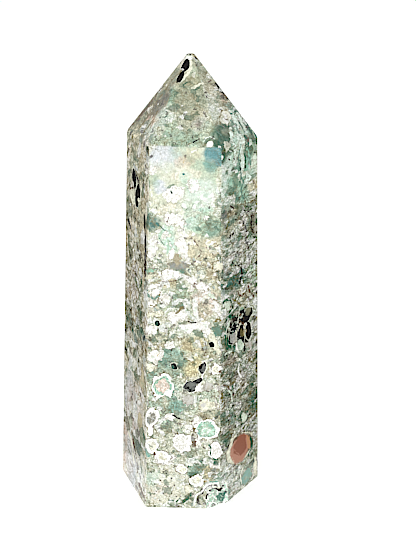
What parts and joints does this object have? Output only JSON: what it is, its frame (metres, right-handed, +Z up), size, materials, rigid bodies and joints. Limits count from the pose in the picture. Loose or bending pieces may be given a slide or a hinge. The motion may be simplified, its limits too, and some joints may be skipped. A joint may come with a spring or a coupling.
{
  "type": "rainforest rhyolite point",
  "caption": "Polished hexagonal point of spotted green orbicular rhyolite with a faceted tip, open natural vugs and a flat base that it stands on.",
  "frame": {"origin": "middle of the flat base", "axes": "+Z up the stone to its tip; -Y out of the widest side facet, the one the picture faces; +X to the right of it"},
  "size_m": [0.0308, 0.0278, 0.095],
  "materials": {
    "polished_rhyolite": "polished orbicular rhyolite: sage, teal and deep green ground with cream spherulites, tan and grey-olive bands, one red-brown jasper eye and rough dark vugs lined with pale quartz"
  },
  "bodies": {
    "root": {"stone": "polished_rhyolite"}
  },
  "joints": []
}
